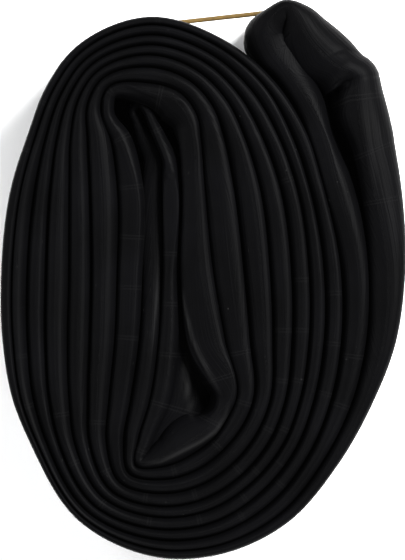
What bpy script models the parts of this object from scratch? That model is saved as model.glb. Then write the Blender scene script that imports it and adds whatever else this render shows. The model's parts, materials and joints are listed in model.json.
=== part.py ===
"""Bicycle inner tube, deflated, doubled, rolled into an oval and held by a rubber band.

The roll lies on its side: the roll's axis is +Z, its long way is Y, and z = 0 is the lower edge of the
pressed tube. The tube is one closed ring. It starts at the fold in the middle of the roll, runs out
through every second layer (run A), turns back in the loose outer fold, and returns through the layers
between (run B). A car-type valve lies inside the outer fold. Metres, apart from the layer gauges.
"""
import math

import bmesh
import bpy
from mathutils import Matrix, Vector

MM = 0.001

# ---- tube ------------------------------------------------------------------------------------------
FLAT_WIDTH = 48.0 * MM          # the pressed tube, fold edge to fold edge
WALL = 0.8 * MM                 # butyl wall
LEAST_VOID = 0.3 * MM           # air left between the two walls where they are pressed hardest
LAYER_GAP = 0.36 * MM           # between two layers of the roll
EDGE_ROUND = 1.2 * MM           # height of the rounded fold edge
VOID_END = 1.6 * MM             # the air space stops this far inside each fold edge
CREST_SHARE = 0.5               # width of the flat on a fold edge, as a share of the layer's thickness
POCKET_HALF = 7.0 * MM          # half height of the hollow that the valve lies in
POCKET_LAYER = 1.5 * MM         # thickness of the layers on both sides of the valve
SHARP_TURN = math.radians(11)   # a span that bends more than this gets a station in its middle

# Layer gauges: lines drawn outward across the roll, anticlockwise from the upper left. Each has its
# start (mm), its direction (degrees), the distance to the middle of every layer that it crosses,
# outermost first, and the half thickness outside the first and inside the last of them (mm).
SIDE_GAUGES = (
    ((-4.1, 19.8), 180, (32.7, 30.2, 27.4, 24.1, 20.5, 15.8, 9.9, 5.8, 2.1), 0.9, 1.5),
    ((-4.1, -0.2), 180, (35.0, 32.4, 28.9, 24.7, 20.1, 15.5, 10.1, 5.6, 2.2), 1.0, 1.3),
    ((-4.5, -12.2), 180, (34.3, 31.8, 28.5, 24.5, 20.0, 15.4, 10.3, 6.0, 2.4), 1.0, 2.2),
    ((-6.1, -24.2), 180, (30.8, 28.7, 25.9, 22.3, 18.3, 14.6, 10.3, 6.3, 2.4), 0.8, 2.2),
    ((-9.3, -32.2), 180, (24.4, 22.8, 20.6, 17.7, 14.5, 11.5, 8.0, 4.9, 2.1), 0.8, 1.6),
    ((-10.5, -34.2), 225, (19.2, 17.8, 16.2, 14.1, 11.8, 9.7, 7.3, 4.9, 2.8), 0.7, 1.2),
    ((-7.3, -32.2), 270, (22.6, 20.7, 18.6, 16.3, 14.0, 11.7, 9.0, 6.3, 3.7), 0.8, 1.3),
    ((-3.5, -30.2), 287, (24.7, 22.6, 20.2, 17.6, 15.2, 12.6, 9.7, 6.5, 3.3), 0.9, 1.3),
    ((-0.5, -28.2), 311, (25.6, 23.0, 19.9, 17.2, 14.7, 12.1, 9.0, 5.6, 3.1), 1.2, 1.3),
    ((1.9, -25.6), 335, (26.1, 22.8, 19.7, 17.1, 14.5, 11.7, 8.6, 5.3, 2.0), 1.4, 1.3),
    ((1.9, -24.2), 0, (30.1, 25.6, 21.4, 18.8, 15.8, 13.0, 9.8, 6.2, 3.0), 2.1, 1.6),
    ((-2.5, -12.2), 0, (38.0, 32.1, 28.0, 25.2, 22.0, 18.4, 14.4, 9.4, 4.6), 3.1, 3.0),
    ((-4.1, -0.2), 0, (40.6, 33.8, 29.7, 26.9, 23.7, 19.9, 15.3, 9.6, 3.4), 3.8, 3.2),
    ((-4.1, 19.8), 0, (38.8, 30.6, 26.6, 23.8, 20.8, 17.2, 12.9, 7.1, 1.8), 4.9, 1.9),
    ((-4.1, 27.8), 0, (35.8, 28.0, 23.7, 21.0, 17.8, 14.4, 10.7, 6.0, 1.6), 6.8, 1.8),
)
TOP_GAUGES = (
    ((-5.5, 30.4), 23, (20.8, 18.3, 15.6, 13.0, 10.2, 6.8, 3.0), 1.1, 1.6),
    ((-8.5, 31.4), 49, (19.8, 17.9, 15.8, 13.7, 11.3, 8.6, 5.3), 1.0, 1.6),
    ((-10.5, 33.4), 90, (18.0, 16.1, 14.0, 12.1, 10.0, 7.2, 3.8), 0.8, 1.3),
    ((-14.5, 32.4), 133, (16.6, 15.0, 13.4, 11.7, 10.0, 8.1, 5.8), 0.8, 1.4),
    ((-14.9, 31.4), 157, (16.8, 15.1, 13.4, 11.6, 9.7, 7.4, 4.2), 0.8, 1.6),
    ((-12.5, 27.8), 180, (21.8, 19.8, 17.6, 15.1, 12.2, 8.2, 3.2), 0.8, 1.8),
)
LAYERS = len(SIDE_GAUGES[0][2])     # passes down the left of the roll
POCKET_GAUGES = range(11, 15)       # the side gauges that cross the valve's hollow

# Stations of the two folds: x, y, half thickness on the right and on the left of the way along (mm).
# The way along goes out on run A and back on run B.
INNER_FOLD = (
    (-9.9, 23.8, 1.5, 1.6),
    (-11.7, 27.8, 1.3, 1.4),
    (-13.1, 31.4, 1.1, 1.2),
    (-13.9, 33.8, 0.9, 1.0),
    (-12.7, 35.0, 0.8, 0.8),
    (-11.3, 33.9, 0.9, 0.9),
    (-10.1, 31.4, 1.0, 1.1),
    (-8.4, 27.8, 1.3, 1.4),
    (-6.6, 23.8, 1.5, 1.5),
)
SEAT = (30.0, 37.6)             # the layer's middle where the valve's foot sits
BELOW_SEAT = (5.7, 3.0)         # half thicknesses on the foot's side of the seat
BEHIND_SEAT = (5.6, 5.8)        # and in the loose fold, behind it
SEAT_WALL = 0.8 * MM
SEAT_STEP = 0.05 * MM           # length of way over which a section steps out
LOOSE_FOLD = (
    (28.5, 41.4, 4.6, 5.8),
    (26.1, 45.0, 4.2, 5.8),
    (22.7, 49.2, 3.2, 4.8),
    (19.9, 52.5, 2.2, 3.2),
    (16.5, 54.0, 1.6, 1.1),
    (13.9, 52.5, 1.8, 1.9),
    (12.1, 49.0, 3.7, 3.9),
    (13.3, 45.2, 3.5, 4.6),
    (16.1, 41.0, 2.2, 4.1),
    (20.1, 34.8, 1.9, 4.2),
)
BEFORE_SEAT = (30.7, 32.2, 6.5, 3.6)

# ---- valve -----------------------------------------------------------------------------------------
VALVE_HEADING = math.radians(-83.0)     # the stem points down into the roll
SEAT_SHIFT = 0.6 * MM                   # the foot's middle, left of the layer's middle
HOLE_RADIUS = 1.6 * MM                  # through the tube's wall
FIT = 0.3 * MM                          # between pieces that touch
FOOT_ALONG = 8.0 * MM                   # the oval foot, along the roll's plane
FOOT_ACROSS = 12.6 * MM                 # and along the roll's axis
FOOT_THICK = 1.2 * MM
SLEEVE_RADIUS = 3.9 * MM
SLEEVE_TIP_RADIUS = 3.7 * MM
SLEEVE_END = 18.0 * MM                  # heights are measured from the tube's wall, along the stem
STEM_RADIUS = 2.5 * MM
STEM_START = 0.9 * MM
STEM_LENGTH = 29.0 * MM
THREAD_RADIUS = 3.6 * MM
THREAD_START = 18.3 * MM
THREAD_PITCH = 0.794 * MM
BORE_RADIUS = 1.6 * MM
CHAMBER_RADIUS = 2.3 * MM
CHAMBER_START = 17.0 * MM
CORE_TOP = 28.6 * MM
CORE_BOTTOM = 17.6 * MM
PIN_RADIUS = 0.45 * MM
PIN_TRAVEL = 1.5 * MM
CAP_RADIUS = 4.4 * MM
CAP_INNER = 3.9 * MM
CAP_START = 21.5 * MM
CAP_END = 31.6 * MM
CAP_TRAVEL = 4.0 * THREAD_PITCH         # four turns free the cap from its thread
FACETS = 20                             # sides of a turned piece of the valve

# ---- band ------------------------------------------------------------------------------------------
BAND_THICK = 0.9 * MM
BAND_WIDE = 3.0 * MM


# ---- scene, materials ------------------------------------------------------------------------------
for old in list(bpy.data.objects):
    bpy.data.objects.remove(old, do_unlink=True)

part = bpy.data.collections.new("inner_tube")
guides = bpy.data.collections.new("cutters")
bpy.context.scene.collection.children.link(part)
bpy.context.scene.collection.children.link(guides)


def material(name, colour, roughness, metallic=0.0):
    made = bpy.data.materials.new(name)
    made.use_nodes = True
    shader = made.node_tree.nodes["Principled BSDF"]
    shader.inputs["Base Color"].default_value = (*colour, 1.0)
    shader.inputs["Roughness"].default_value = roughness
    shader.inputs["Metallic"].default_value = metallic
    return made


BUTYL = material("butyl_rubber", (0.011, 0.011, 0.012), 0.55)
LATEX = material("natural_rubber", (0.42, 0.27, 0.10), 0.60)
BRASS = material("brass", (0.72, 0.52, 0.22), 0.30, 1.0)
STEEL = material("spring_steel", (0.55, 0.55, 0.56), 0.30, 1.0)
SEAL = material("seal_rubber", (0.020, 0.020, 0.022), 0.60)
PLASTIC = material("black_plastic", (0.015, 0.015, 0.016), 0.40)


def place(name, mesh, finish, smooth_angle=35.0):
    """Make an object of the part from a mesh and shade its round faces smooth."""
    made = bpy.data.objects.new(name, mesh)
    mesh.materials.clear()
    mesh.materials.append(finish)
    mesh.shade_smooth()
    mesh.set_sharp_from_angle(angle=math.radians(smooth_angle))
    part.objects.link(made)
    return made


# ---- the way along the tube ------------------------------------------------------------------------
class Station:
    """A section of the tube: its middle, its half thicknesses, and those beside the valve and inside."""

    def __init__(self, x, y, right, left):
        self.middle = Vector((x, y))
        self.right = right
        self.left = left
        self.left_mid = None        # left half thickness at half height, where it is hollowed
        self.void_like = None       # the station that the air space follows, where it differs
        self.heading = None         # the way along the ring, where it is set


def from_list(rows):
    return [Station(*(value * MM for value in row)) for row in rows]


def crossing(gauge, layer):
    """The station where a gauge crosses a layer; right is the outside."""
    start, degrees, middles, outermost, innermost = gauge
    heading = Vector((math.cos(math.radians(degrees)), math.sin(math.radians(degrees))))
    point = Vector(start) + heading * middles[layer]
    outside = outermost
    if layer > 0:
        outside = (middles[layer - 1] - middles[layer]) / 2
    inside = innermost
    if layer < len(middles) - 1:
        inside = (middles[layer] - middles[layer + 1]) / 2
    station = Station(point.x * MM, point.y * MM, outside * MM, inside * MM)
    station.gauge_heading = heading
    return station


def run(layer):
    """Stations from the middle of the roll outward, starting down the left in a layer."""
    stations = []
    while layer >= 0:
        stations += [crossing(gauge, layer) for gauge in SIDE_GAUGES]
        for index in POCKET_GAUGES:
            if layer < 2:
                stations[index - len(SIDE_GAUGES)].left_mid = True
        layer -= 2
        if layer >= 0:
            stations += [crossing(gauge, layer) for gauge in TOP_GAUGES]
    return stations


def reversed_run(stations):
    """The same stations walked the other way, so that right and left change places."""
    for station in stations:
        station.right, station.left = station.left, station.right
    return stations[::-1]


def seat_stations():
    """The step in the tube that the valve's foot sits on, as four close sections."""
    back = Vector((-math.cos(VALVE_HEADING), -math.sin(VALVE_HEADING)))
    seat = Vector(SEAT) * MM
    stations = []
    for distance in (-SEAT_STEP, 0.0, SEAT_WALL, SEAT_WALL + SEAT_STEP):
        middle = seat + back * distance
        thickness = BELOW_SEAT if distance < 0 else BEHIND_SEAT
        station = Station(middle.x, middle.y, thickness[0] * MM, thickness[1] * MM)
        station.heading = back
        stations.append(station)
    below, face, behind, hood = stations
    below.left_mid = True
    face.void_like = below
    behind.void_like = below
    return stations


def whole_ring():
    run_a = run(LAYERS - 1)
    run_b = reversed_run(run(LAYERS - 2))
    before = from_list([BEFORE_SEAT])
    loose = from_list(LOOSE_FOLD)
    before[0].left_mid = True
    loose[-1].left_mid = True
    return run_a + before + seat_stations() + loose + run_b + from_list(INNER_FOLD)


def way(stations, index):
    """Direction along the ring at a station."""
    if stations[index].heading:
        return stations[index].heading
    ahead = stations[(index + 1) % len(stations)].middle
    behind = stations[index - 1].middle
    here = stations[index].middle
    return ((ahead - here).normalized() + (here - behind).normalized()).normalized()


def trim(stations):
    """Turn gauge thicknesses into thicknesses square to the layer, less the gap between layers."""
    for index, station in enumerate(stations):
        along = way(stations, index)
        square = Vector((along.y, -along.x))
        share = 1.0
        if hasattr(station, "gauge_heading"):
            share = abs(square.dot(station.gauge_heading))
        station.right = station.right * share - LAYER_GAP / 2
        station.left = station.left * share - LAYER_GAP / 2
        if station.left_mid is True:
            station.left_mid = POCKET_LAYER - station.right
        elif station.left_mid is None:
            station.left_mid = station.left


def between(stations, index):
    """A station half way to the next one, on a smooth curve through its neighbours."""
    before, here, ahead, after = (stations[(index + step) % len(stations)] for step in (-1, 0, 1, 2))
    middle = (here.middle + ahead.middle) * 0.5625 - (before.middle + after.middle) * 0.0625
    made = Station(middle.x, middle.y, (here.right + ahead.right) / 2, (here.left + ahead.left) / 2)
    made.left_mid = (here.left_mid + ahead.left_mid) / 2
    return made


def refined(stations):
    """Add stations where the tube bends most."""
    result = []
    for index, station in enumerate(stations):
        result.append(station)
        ahead = stations[(index + 1) % len(stations)]
        if station.heading or ahead.heading:
            continue
        turn = way(stations, index).angle(way(stations, (index + 1) % len(stations)))
        if turn > SHARP_TURN:
            result.append(between(stations, index))
    return result


def outer_section(station):
    """(offset to the right, height) of the outer skin, from the lower edge up the right side."""
    middle = (station.right - station.left) / 2
    crest = (station.right + station.left) * CREST_SHARE / 2
    low = FLAT_WIDTH / 2 - POCKET_HALF
    high = FLAT_WIDTH / 2 + POCKET_HALF
    return [
        (middle + crest, 0.0),
        (station.right, EDGE_ROUND),
        (station.right, FLAT_WIDTH - EDGE_ROUND),
        (middle + crest, FLAT_WIDTH),
        (middle - crest, FLAT_WIDTH),
        (-station.left, FLAT_WIDTH - EDGE_ROUND),
        (-station.left_mid, high),
        (-station.left_mid, low),
        (-station.left, EDGE_ROUND),
        (middle - crest, 0.0),
    ]


def void_section(station):
    """(offset to the right, height) of the air space, walked the same way."""
    source = station.void_like or station
    low = FLAT_WIDTH / 2 - POCKET_HALF
    high = FLAT_WIDTH / 2 + POCKET_HALF
    edge_wall = min(WALL, (source.right + source.left - LEAST_VOID) / 2)
    mid_wall = min(WALL, (source.right + source.left_mid - LEAST_VOID) / 2)
    wall = min(edge_wall, mid_wall)
    return [
        (source.right - wall, VOID_END),
        (source.right - wall, FLAT_WIDTH - VOID_END),
        (-source.left + edge_wall, FLAT_WIDTH - VOID_END),
        (-source.left_mid + mid_wall, high),
        (-source.left_mid + mid_wall, low),
        (-source.left + edge_wall, VOID_END),
    ]


def skin(bm, stations, section, outward):
    """Loft one closed skin through every station."""
    rings = []
    for index, station in enumerate(stations):
        along = way(stations, index)
        right = Vector((along.y, -along.x))
        ring = []
        for offset, height in section(station):
            point = station.middle + right * offset
            ring.append(bm.verts.new((point.x, point.y, height)))
        rings.append(ring)
    for index, ring in enumerate(rings):
        following = rings[(index + 1) % len(rings)]
        for corner in range(len(ring)):
            other = (corner + 1) % len(ring)
            face = [ring[corner], ring[other], following[other], following[corner]]
            bm.faces.new(face if outward else face[::-1])


def outline_points(stations):
    """Both sides of every station, in the plane of the roll."""
    points = []
    for index, station in enumerate(stations):
        along = way(stations, index)
        right = Vector((along.y, -along.x))
        points.append(station.middle + right * station.right)
        points.append(station.middle - right * station.left)
    return points


def centred(stations):
    """Move the ring so that the roll's box has its middle at the origin."""
    points = outline_points(stations)
    low = Vector((min(p.x for p in points), min(p.y for p in points)))
    high = Vector((max(p.x for p in points), max(p.y for p in points)))
    for station in stations:
        station.middle = station.middle - (low + high) / 2


def combine(target, tool, operation="DIFFERENCE"):
    """Cut one object with another, or join them."""
    tool.hide_render = True
    tool.display_type = "WIRE"
    modifier = target.modifiers.new(tool.name, "BOOLEAN")
    modifier.operation = operation
    modifier.solver = "EXACT"
    modifier.object = tool


def cylinder(name, low_radius, high_radius, start, end, frame, collection):
    """A round body along the stem, between two heights."""
    bm = bmesh.new()
    bmesh.ops.create_cone(
        bm, cap_ends=True, segments=FACETS, radius1=low_radius, radius2=high_radius, depth=end - start,
        matrix=Matrix.Translation((0.0, 0.0, (start + end) / 2)),
    )
    mesh = bpy.data.meshes.new(name)
    bm.to_mesh(mesh)
    bm.free()
    made = bpy.data.objects.new(name, mesh)
    made.matrix_world = frame
    collection.objects.link(made)
    return made


# ---- tube ------------------------------------------------------------------------------------------
def make_tube(stations, frame):
    bm = bmesh.new()
    skin(bm, stations, outer_section, True)
    skin(bm, stations, void_section, False)
    mesh = bpy.data.meshes.new("tube")
    bm.to_mesh(mesh)
    bm.free()
    tube = place("tube", mesh, BUTYL, 50.0)
    combine(tube, cylinder(
        "valve_hole", HOLE_RADIUS, HOLE_RADIUS, -2.5 * MM, 1.5 * MM, frame, guides))


def valve_frame(stations):
    """The valve's own frame: origin on the tube's wall, local +Z along the stem."""
    face = next(station for station in stations if station.void_like)
    axis = Vector((math.cos(VALVE_HEADING), math.sin(VALVE_HEADING), 0.0))
    right = Vector((-axis.y, axis.x, 0.0))
    seat = face.middle.to_3d() - right * SEAT_SHIFT
    seat.z = FLAT_WIDTH / 2
    across = Vector((0.0, 0.0, 1.0))
    side = across.cross(axis)
    turn = Matrix((side, across, axis)).transposed().to_4x4()
    return Matrix.Translation(seat) @ turn


# ---- valve -----------------------------------------------------------------------------------------
def turned(name, profile, finish, holder):
    """A turned piece: a closed profile of (radius, height), outer side first from top to bottom."""
    mesh = bpy.data.meshes.new(name)
    edges = [(index, (index + 1) % len(profile)) for index in range(len(profile))]
    mesh.from_pydata([(radius, 0.0, height) for radius, height in profile], edges, [])
    made = place(name, mesh, finish)
    made.parent = holder
    screw = made.modifiers.new("turn", "SCREW")
    screw.steps = FACETS
    screw.render_steps = FACETS
    screw.use_merge_vertices = True
    screw.merge_threshold = 0.00001
    screw.use_smooth_shade = False
    return made


def ring_profile(outer, inner, low, high):
    return [(outer, high), (outer, low), (inner, low), (inner, high)]


def make_foot(frame):
    """Rubber foot and sleeve in one moulding, with the bore that holds the stem."""
    bm = bmesh.new()
    shape = Matrix.Translation((0.0, 0.0, FIT + FOOT_THICK / 2))
    shape = shape @ Matrix.Diagonal((FOOT_ALONG / 2, FOOT_ACROSS / 2, 1.0, 1.0))
    bmesh.ops.create_cone(
        bm, cap_ends=True, segments=FACETS + 4, radius1=1.0, radius2=0.9, depth=FOOT_THICK, matrix=shape,
    )
    mesh = bpy.data.meshes.new("valve_base")
    bm.to_mesh(mesh)
    bm.free()
    base = place("valve_base", mesh, SEAL)
    base.matrix_world = frame
    sleeve = cylinder(
        "sleeve", SLEEVE_RADIUS, SLEEVE_TIP_RADIUS, FIT + FOOT_THICK / 2, SLEEVE_END, frame, guides)
    combine(base, sleeve, "UNION")
    bore = STEM_RADIUS + FIT
    combine(base, cylinder("bore", bore, bore, STEM_START - FIT, SLEEVE_END + MM, frame, guides))
    combine(base, cylinder(
        "passage", HOLE_RADIUS, HOLE_RADIUS, -MM, STEM_START + MM, frame, guides))


def make_valve(frame):
    holder = bpy.data.objects.new("valve_axis", None)
    holder.matrix_world = frame
    part.objects.link(holder)
    make_foot(frame)

    turned("valve_stem", [
        (THREAD_RADIUS - 0.3 * MM, STEM_LENGTH), (THREAD_RADIUS, STEM_LENGTH - 0.4 * MM),
        (THREAD_RADIUS, THREAD_START), (STEM_RADIUS, THREAD_START),
        (STEM_RADIUS, STEM_START), (BORE_RADIUS, STEM_START),
        (BORE_RADIUS, CHAMBER_START), (CHAMBER_RADIUS, CHAMBER_START + 0.5 * MM),
        (CHAMBER_RADIUS, STEM_LENGTH),
    ], BRASS, holder)

    plug = CHAMBER_RADIUS - FIT
    barrel = 1.35 * MM
    well = 1.55 * MM
    well_floor = CORE_TOP - 4.6 * MM
    bore = PIN_RADIUS + FIT
    turned("core_body", [
        (plug, CORE_TOP), (plug, CORE_TOP - 4.8 * MM),
        (barrel, CORE_TOP - 5.2 * MM), (barrel, CORE_BOTTOM + 2.2 * MM),
        (bore, CORE_BOTTOM + 2.2 * MM), (bore, well_floor - 0.7 * MM),
        (bore, well_floor), (well, well_floor), (well, CORE_TOP),
    ], BRASS, holder)
    turned("core_gasket", ring_profile(
        plug, barrel + FIT, CORE_BOTTOM + 3.0 * MM, CORE_TOP - 5.7 * MM), SEAL, holder)

    pin_top = CORE_TOP - 0.3 * MM
    pin_low = CORE_BOTTOM - 0.6 * MM
    turned("core_pin", [
        (0.0, pin_top), (PIN_RADIUS, pin_top - 0.15 * MM), (PIN_RADIUS, pin_top - 0.6 * MM),
        (1.15 * MM, pin_top - 0.6 * MM), (1.15 * MM, pin_top - 1.0 * MM),
        (PIN_RADIUS, pin_top - 1.0 * MM), (PIN_RADIUS, pin_low), (0.0, pin_low),
    ], BRASS, holder)
    turned("core_seal", ring_profile(
        1.25 * MM, bore, CORE_BOTTOM + 1.0 * MM, CORE_BOTTOM + 1.9 * MM), SEAL, holder)
    turned("core_cup", ring_profile(
        1.25 * MM, bore, CORE_BOTTOM, CORE_BOTTOM + 0.7 * MM), BRASS, holder)
    make_spring(frame, well_floor + FIT, pin_top - 1.0 * MM - FIT)

    turned("valve_cap", [
        (CAP_RADIUS - 0.8 * MM, CAP_END), (CAP_RADIUS, CAP_END - 0.9 * MM),
        (CAP_RADIUS, CAP_START), (CAP_INNER, CAP_START),
        (CAP_INNER, CAP_END - 1.0 * MM), (0.0, CAP_END - 1.0 * MM), (0.0, CAP_END),
    ], PLASTIC, holder)
    turned("cap_seal", ring_profile(
        THREAD_RADIUS, CHAMBER_RADIUS, STEM_LENGTH + FIT, CAP_END - 1.0 * MM - FIT), SEAL, holder)


def make_spring(frame, low, high):
    """A compression spring around the pin, as a coiled wire."""
    wire = 0.16 * MM
    radius = 1.0 * MM
    turns = 5
    per_turn = 10
    count = turns * per_turn
    curve = bpy.data.curves.new("core_spring", "CURVE")
    curve.dimensions = "3D"
    spline = curve.splines.new("POLY")
    spline.points.add(count)
    for index in range(count + 1):
        angle = math.tau * index / per_turn
        height = low + wire + (high - low - 2 * wire) * index / count
        spline.points[index].co = (radius * math.cos(angle), radius * math.sin(angle), height, 1.0)
    curve.bevel_depth = wire
    curve.bevel_resolution = 0
    curve.use_fill_caps = True
    curve.materials.append(STEEL)
    spring = bpy.data.objects.new("core_spring", curve)
    spring.matrix_world = frame
    part.objects.link(spring)


# ---- band ------------------------------------------------------------------------------------------
def hull(points):
    """Convex hull, anticlockwise."""
    ordered = sorted((p.x, p.y) for p in points)

    def half(sequence):
        chain = []
        for point in sequence:
            while len(chain) > 1:
                (ax, ay), (bx, by) = chain[-2], chain[-1]
                if (bx - ax) * (point[1] - ay) - (by - ay) * (point[0] - ax) > 0:
                    break
                chain.pop()
            chain.append(point)
        return chain[:-1]

    return [Vector(point) for point in half(ordered) + half(ordered[::-1])]


def make_band(stations):
    """A flat band stretched round the roll at half its height."""
    corners = hull(outline_points(stations))
    count = len(corners)
    bm = bmesh.new()
    for level in (-0.5, 0.5):
        for index, corner in enumerate(corners):
            before = (corner - corners[index - 1]).normalized()
            after = (corners[(index + 1) % count] - corner).normalized()
            along = (before + after).normalized()
            outward = Vector((along.y, -along.x)) / math.sqrt((1 + before.dot(after)) / 2)
            point = corner + outward * FIT
            bm.verts.new((point.x, point.y, FLAT_WIDTH / 2 + level * BAND_WIDE))
    bm.verts.ensure_lookup_table()
    for index in range(count):
        other = (index + 1) % count
        bm.faces.new([bm.verts[index], bm.verts[other], bm.verts[count + other], bm.verts[count + index]])
    mesh = bpy.data.meshes.new("rubber_band")
    bm.to_mesh(mesh)
    bm.free()
    band = place("rubber_band", mesh, LATEX)
    thicken = band.modifiers.new("thickness", "SOLIDIFY")
    thicken.thickness = BAND_THICK
    thicken.offset = 1.0
    thicken.use_even_offset = True


ring = whole_ring()
trim(ring)
ring = refined(ring)
centred(ring)
valve = valve_frame(ring)
make_tube(ring, valve)
make_valve(valve)
make_band(ring)
bpy.context.view_layer.update()
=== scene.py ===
import json
import math

import bpy
import numpy as np
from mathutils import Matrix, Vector


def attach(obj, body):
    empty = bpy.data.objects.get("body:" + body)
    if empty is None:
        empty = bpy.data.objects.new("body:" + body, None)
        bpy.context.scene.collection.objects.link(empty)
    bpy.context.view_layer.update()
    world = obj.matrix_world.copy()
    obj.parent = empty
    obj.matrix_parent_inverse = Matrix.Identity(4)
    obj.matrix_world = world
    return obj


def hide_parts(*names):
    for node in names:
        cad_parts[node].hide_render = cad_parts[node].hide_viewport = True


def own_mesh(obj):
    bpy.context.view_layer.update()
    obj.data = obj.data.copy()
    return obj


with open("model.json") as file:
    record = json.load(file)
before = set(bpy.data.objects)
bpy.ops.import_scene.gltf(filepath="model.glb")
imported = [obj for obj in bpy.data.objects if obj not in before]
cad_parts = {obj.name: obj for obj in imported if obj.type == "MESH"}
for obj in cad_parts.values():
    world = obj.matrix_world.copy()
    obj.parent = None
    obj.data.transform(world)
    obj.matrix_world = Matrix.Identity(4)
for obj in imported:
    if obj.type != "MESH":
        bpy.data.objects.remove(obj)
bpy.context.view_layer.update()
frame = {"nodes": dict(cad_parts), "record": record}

SCENE = bpy.context.scene
MM = 0.001

# ---- tube dimensions, in mm --------------------------------------------------------------------
FLAT_WIDTH = 48.0               # width of the pressed tube, which is the height of the roll
MIDDLE = FLAT_WIDTH / 2         # height of the valve's axis and of the band
SKIN_GAP = 0.05                 # half the gap between two layers
POCKET_LAYER = 1.5              # thickness of the layers beside the valve
VALVE_ROOM = 7.1                # half the height over which they are so thin
SEAT = (30.0, 37.6)             # where the valve stands on the tube
SEAT_HEADING = math.radians(-83.0)      # which way the valve points

# Lines across the layers of the roll: start, direction in degrees, distance from the start to each
# layer's middle with the outermost first, and how far the outermost and the innermost layer reach
# past their middles.
SIDE_GAUGES = (
    ((-4.1, 19.8), 180, (32.7, 30.2, 27.4, 24.1, 20.5, 15.8, 9.9, 5.8, 2.1), 0.9, 1.5),
    ((-4.1, -0.2), 180, (35.0, 32.4, 28.9, 24.7, 20.1, 15.5, 10.1, 5.6, 2.2), 1.0, 1.3),
    ((-4.5, -12.2), 180, (34.3, 31.8, 28.5, 24.5, 20.0, 15.4, 10.3, 6.0, 2.4), 1.0, 2.2),
    ((-6.1, -24.2), 180, (30.8, 28.7, 25.9, 22.3, 18.3, 14.6, 10.3, 6.3, 2.4), 0.8, 2.2),
    ((-9.3, -32.2), 180, (24.4, 22.8, 20.6, 17.7, 14.5, 11.5, 8.0, 4.9, 2.1), 0.8, 1.6),
    ((-10.5, -34.2), 225, (19.2, 17.9, 16.3, 14.1, 11.8, 9.7, 7.3, 4.9, 2.8), 0.6, 1.2),
    ((-7.3, -32.2), 270, (22.6, 20.7, 18.6, 16.3, 14.0, 11.7, 9.0, 6.3, 3.7), 0.8, 1.3),
    ((-3.5, -30.2), 287, (24.7, 22.6, 20.2, 17.6, 15.2, 12.6, 9.7, 6.5, 3.3), 0.9, 1.3),
    ((-0.5, -28.2), 311, (25.6, 23.0, 19.9, 17.2, 14.7, 12.1, 9.0, 5.6, 3.1), 1.2, 1.3),
    ((1.9, -25.6), 335, (26.1, 22.8, 19.7, 17.1, 14.5, 11.7, 8.6, 5.3, 2.0), 1.4, 1.3),
    ((1.9, -24.2), 0, (30.1, 25.6, 21.4, 18.8, 15.8, 13.0, 9.8, 6.2, 3.0), 2.1, 1.6),
    ((-2.5, -12.2), 0, (38.0, 32.1, 28.0, 25.2, 22.0, 18.4, 14.4, 9.4, 4.6), 3.1, 3.0),
    ((-4.1, -0.2), 0, (40.6, 33.8, 29.7, 26.9, 23.7, 19.9, 15.3, 9.6, 3.4), 3.8, 3.2),
    ((-4.1, 19.8), 0, (38.8, 29.6, 25.9, 23.8, 20.8, 17.2, 12.9, 7.1, 1.8), 4.9, 1.9),
    ((-4.1, 27.8), 0, (35.8, 27.4, 23.3, 21.0, 17.8, 14.4, 10.7, 6.0, 1.6), 6.8, 1.8),
)
TOP_GAUGES = (
    ((-5.5, 30.4), 23, (20.8, 18.3, 15.6, 13.0, 10.2, 6.8, 3.0), 1.1, 1.6),
    ((-8.5, 31.4), 49, (19.8, 17.9, 15.8, 13.7, 11.3, 8.6, 5.3), 1.0, 1.6),
    ((-10.5, 33.4), 90, (18.0, 16.1, 14.0, 12.1, 10.0, 7.2, 3.8), 0.8, 1.3),
    ((-14.5, 32.4), 133, (16.6, 15.0, 13.4, 11.7, 10.0, 8.1, 5.8), 0.8, 1.4),
    ((-14.9, 31.4), 157, (16.8, 15.1, 13.4, 11.6, 9.7, 7.4, 4.2), 0.8, 1.6),
    ((-12.5, 27.8), 180, (21.8, 19.8, 17.6, 15.1, 12.2, 8.2, 3.2), 0.8, 1.8),
)
LAYERS = 9
POCKET_GAUGES = range(11, 15)   # the side gauges that pass the valve
LAST_LEFT_GAUGE = 4             # the edges change from the left side's to the right side's
FIRST_RIGHT_GAUGE = 10          # between these two gauges
FINE_STATIONS = 20              # the first stations, round the middle pocket, have short steps
# Stations of the folds: x, y, half thickness right and left of the way along, crest across the layer
# (1 is right), depth of the rounding right and left, distance of the crest below the top, bulge to the
# left, shear of the upper part along the way, lean of the left wall. The stations at the valve have
# their places from SEAT.
INNER_FOLD = (
    (-9.9, 23.8, 1.9, 1.9, 0.0, 0.9, 0.9, 4.8),
    (-11.7, 27.8, 1.7, 1.6, 0.0, 1.2, 1.2, 5.4),
    (-13.1, 31.4, 1.1, 1.2, 0.0, 1.6, 1.6, 6.2),
    (-13.9, 33.8, 0.9, 1.0, 0.0, 1.4, 1.4, 6.4),
    (-12.7, 35.0, 0.8, 0.8, 0.0, 1.2, 1.2, 5.0),
    (-11.3, 33.9, 0.9, 0.9, 0.0, 1.4, 1.4, 3.8),
    (-10.1, 31.4, 1.0, 1.1, 0.1, 1.8, 1.6, 2.9),
    (-8.4, 27.8, 1.3, 1.4, 0.2, 2.2, 2.2, 2.0),
    (-6.6, 23.8, 1.5, 1.5, 0.4, 2.4, 2.6, 1.4),
)
BEFORE_SEAT = (30.7, 32.2, 6.5, 3.6, -0.2, 6.0, 3.6, 0.4, 0.0, 0.1, 1.0)
BELOW_SEAT = (5.7, 3.0, -0.19, 6.0, 3.6, 0.3, 0.0, 0.5, 1.8)
BEHIND_SEAT = (5.6, 5.8, 0.18, 6.0, 5.5, 0.3, 0.0, 0.5)
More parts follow.
